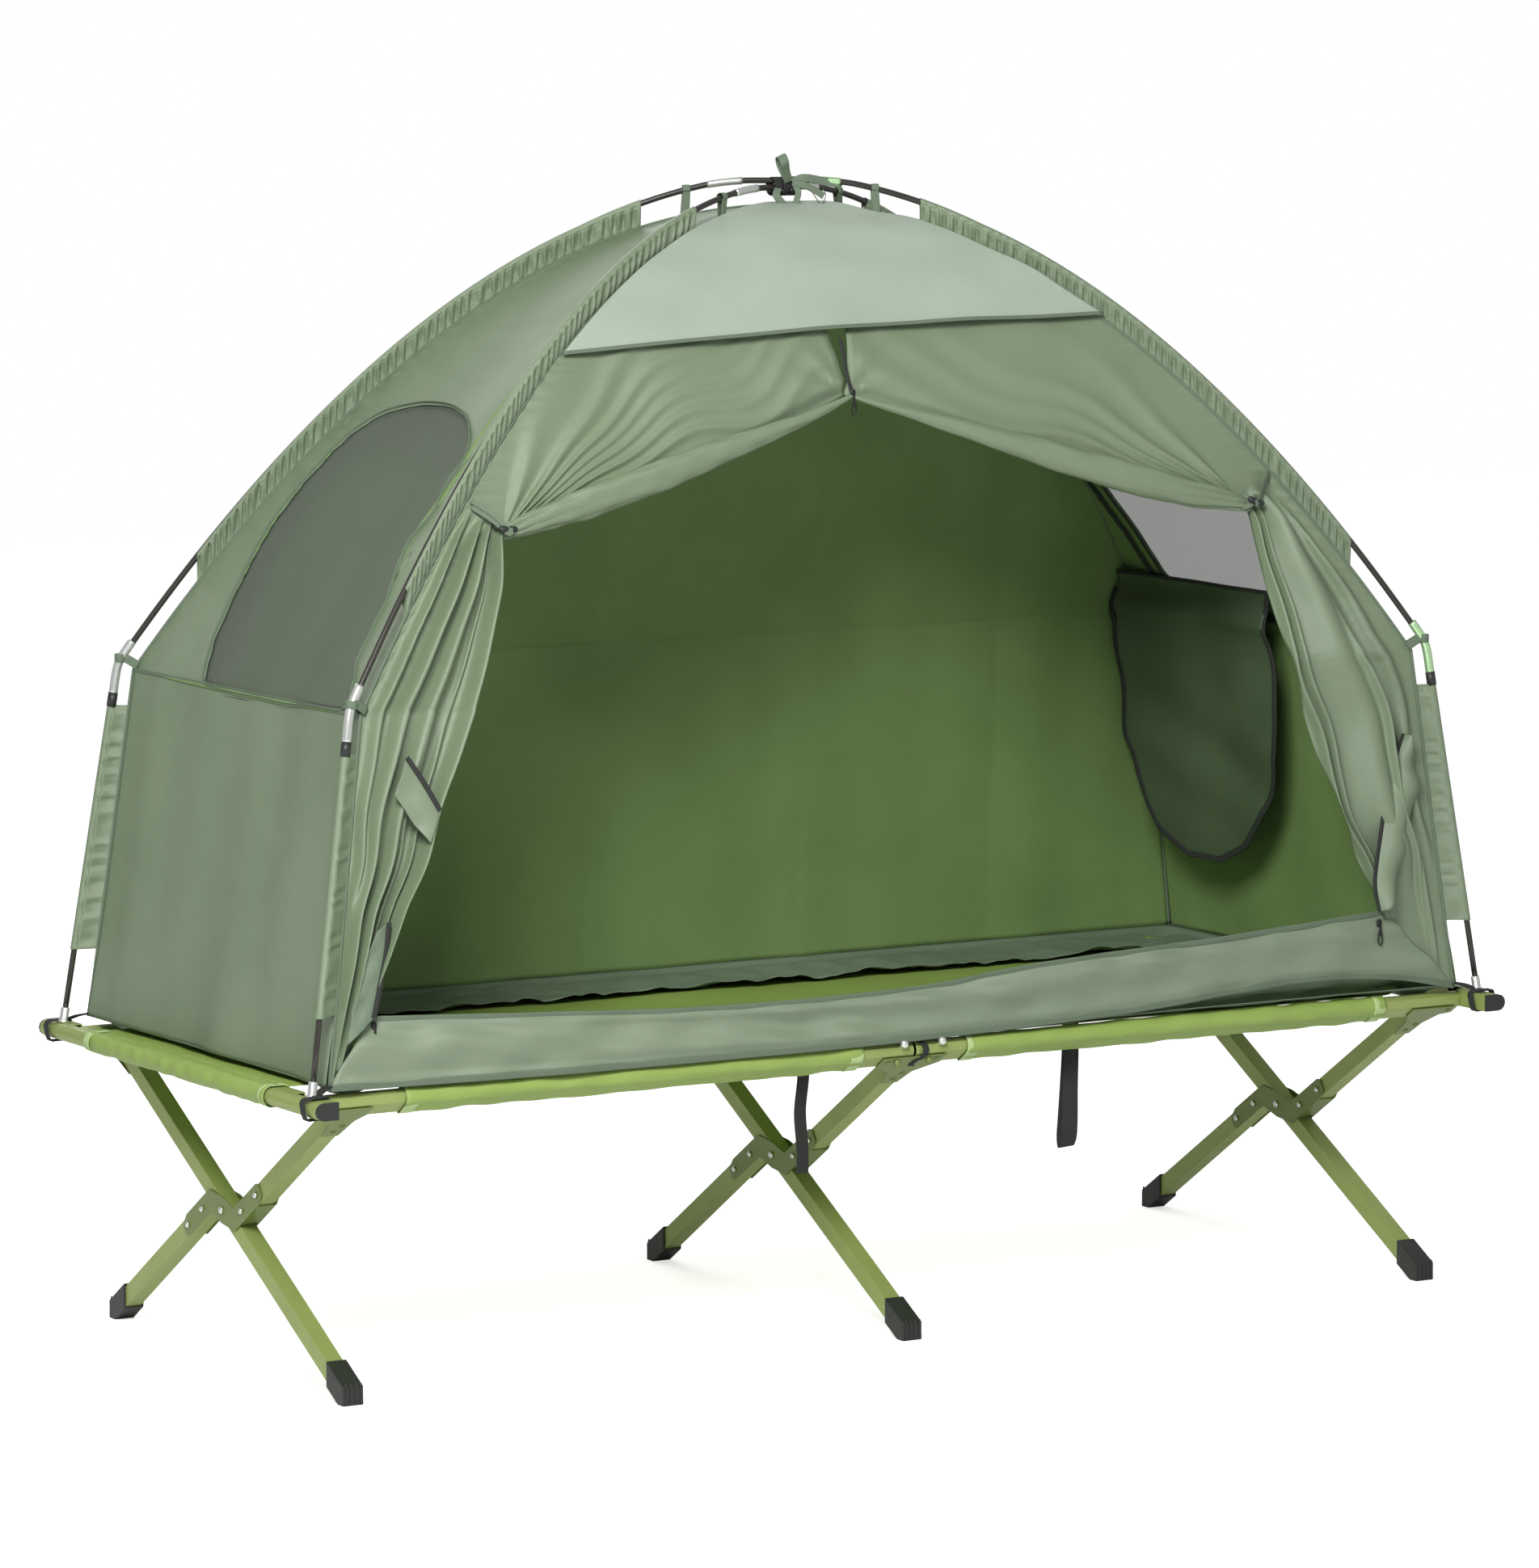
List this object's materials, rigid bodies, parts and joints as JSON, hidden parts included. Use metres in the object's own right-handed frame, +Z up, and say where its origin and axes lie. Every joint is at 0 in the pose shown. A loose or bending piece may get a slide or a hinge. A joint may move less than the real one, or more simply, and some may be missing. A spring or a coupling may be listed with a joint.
{
  "type": "tent on folding camp bed",
  "caption": "One-person dome shelter on a folding camp bed with crossed legs, end bars, curved poles, tied-back door and netting windows.",
  "frame": {"origin": "on the floor, under the middle of the bed", "axes": "+X along the bed to its right-hand end, -Y to the door side, +Z up"},
  "size_m": [1.9372, 0.8626, 1.6099],
  "materials": {
    "frame_tube": "olive powder coat on aluminium tube",
    "frame_bracket": "olive powder coat on pressed steel",
    "foot_plastic": "black moulded plastic",
    "bed_cloth": "tight woven polyester, lime green",
    "webbing": "black webbing",
    "pole": "black fibreglass rod",
    "elbow_metal": "plated steel tube",
    "tent_cloth": "coated nylon, sage green",
    "awning_cloth": "coated nylon, pale sage",
    "border_cloth": "dark coated nylon",
    "netting": "fine insect netting",
    "zip_metal": "black zip pull"
  },
  "bodies": {
    "front_frame": {"front_rail_left": "frame_tube", "front_rail_right": "frame_tube", "front_leg_upper_left": "frame_tube", "front_leg_upper_mid": "frame_tube", "front_leg_upper_right": "frame_tube", "front_leg_lower_left": "frame_tube", "front_leg_lower_mid": "frame_tube", "front_leg_lower_right": "frame_tube", "scissor_bracket_left": "frame_bracket", "scissor_bracket_mid": "frame_bracket", "scissor_bracket_right": "frame_bracket", "back_foot_left": "foot_plastic", "back_foot_mid": "foot_plastic", "back_foot_right": "foot_plastic", "front_bracket_left": "frame_bracket", "front_bracket_mid": "frame_bracket", "front_bracket_right": "frame_bracket", "bed_fabric": "bed_cloth", "hanging_strap": "webbing"},
    "back_frame": {"back_rail_left": "frame_tube", "back_rail_right": "frame_tube", "back_leg_left": "frame_tube", "back_leg_mid": "frame_tube", "back_leg_right": "frame_tube", "front_foot_left": "foot_plastic", "front_foot_mid": "foot_plastic", "front_foot_right": "foot_plastic", "back_bracket_left": "frame_bracket", "back_bracket_mid": "frame_bracket", "back_bracket_right": "frame_bracket"},
    "left_end": {"end_bar_left": "frame_tube", "end_cap_left_front": "foot_plastic", "end_cap_left_back": "foot_plastic"},
    "right_end": {"end_bar_right": "frame_tube", "end_cap_right_front": "foot_plastic", "end_cap_right_back": "foot_plastic"},
    "tent": {"pole_arch_a": "pole", "pole_arch_b": "pole", "elbow_front_left": "elbow_metal", "elbow_front_right": "elbow_metal", "elbow_back_left": "elbow_metal", "elbow_back_right": "elbow_metal", "lower_rod_front_left": "pole", "lower_rod_front_right": "pole", "lower_rod_back_left": "pole", "lower_rod_back_right": "pole", "canopy_left": "tent_cloth", "canopy_right": "tent_cloth", "canopy_front": "tent_cloth", "canopy_back": "tent_cloth", "awning": "awning_cloth", "floor_border": "border_cloth", "door_flap_left": "tent_cloth", "door_flap_right": "tent_cloth", "window_mesh_left": "netting", "window_mesh_right": "netting", "window_flap_right": "tent_cloth"},
    "door_pull": {"zip_pull_door": "zip_metal"},
    "sill_pull_left": {"zip_pull_sill_left": "zip_metal"},
    "sill_pull_right": {"zip_pull_sill_right": "zip_metal"}
  },
  "joints": [
    {"name": "cot_scissor", "type": "hinge", "parent": "front_frame", "child": "back_frame", "pos_m": [0, 0, 0.211], "axis": [1, 0, 0], "range_deg": [0, 110], "deforming": ["bed_fabric"]},
    {"name": "tent_lift", "type": "slide", "parent": "front_frame", "child": "tent", "axis": [0, 0, 1], "range_m": [0, 0.8]},
    {"name": "left_end_bar_slide", "type": "slide", "parent": "front_frame", "child": "left_end", "axis": [-1, 0, 0], "range_m": [0, 0.125]},
    {"name": "right_end_bar_slide", "type": "slide", "parent": "front_frame", "child": "right_end", "axis": [1, 0, 0], "range_m": [0, 0.125]},
    {"name": "door_pull_swing", "type": "hinge", "parent": "tent", "child": "door_pull", "pos_m": [-0.015, -0.22594, 1.314], "axis": [-1, 0, 0], "range_deg": [0, 120]},
    {"name": "sill_pull_left_swing", "type": "hinge", "parent": "tent", "child": "sill_pull_left", "pos_m": [-0.848, -0.37223, 0.508], "axis": [-1, 0, 0], "range_deg": [0, 120]},
    {"name": "sill_pull_right_swing", "type": "hinge", "parent": "tent", "child": "sill_pull_right", "pos_m": [0.787, -0.37106, 0.53], "axis": [-1, 0, 0], "range_deg": [0, 120]}
  ],
  "couplings": [
    {"joint": "tent_lift", "follows": "cot_scissor", "m_per_rad": 0.41},
    {"joint": "left_end_bar_slide", "follows": "cot_scissor", "m_per_rad": 0.0625},
    {"joint": "right_end_bar_slide", "follows": "cot_scissor", "m_per_rad": 0.0625}
  ]
}
